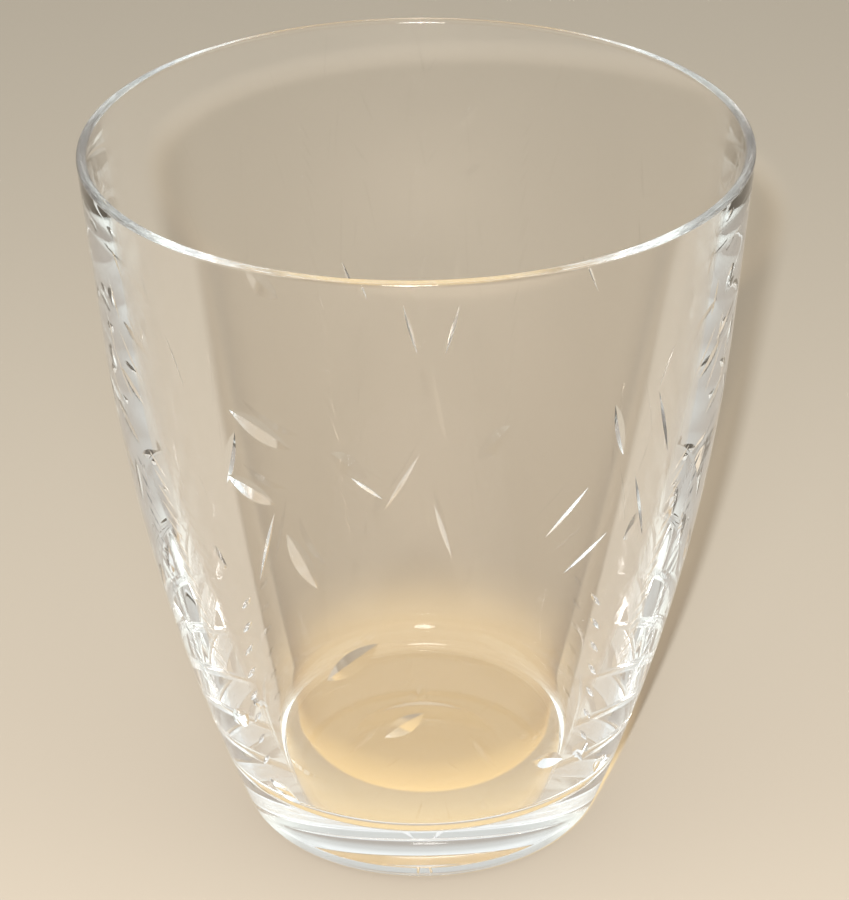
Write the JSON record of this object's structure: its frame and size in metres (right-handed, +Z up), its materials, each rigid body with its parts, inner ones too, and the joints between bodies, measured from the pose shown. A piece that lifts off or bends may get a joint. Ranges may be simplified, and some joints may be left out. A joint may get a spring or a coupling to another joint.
{
  "type": "drinking beaker",
  "caption": "Clear glass drinking beaker with a thin rolled lip, gently curved tapering side, thick rounded base and wheel-cut leaf strokes.",
  "frame": {"origin": "centre of the foot, on the plane that the beaker stands on", "axes": "+Z up along the beaker's own axis, out of the mouth; -Y is the front"},
  "size_m": [0.084, 0.084, 0.095],
  "materials": {
    "clear_glass": "clear colourless blown glass, fire-polished lip, broad wheel cuts polished and fine ones left satin"
  },
  "bodies": {
    "root": {"glass_beaker": "clear_glass"}
  },
  "joints": []
}
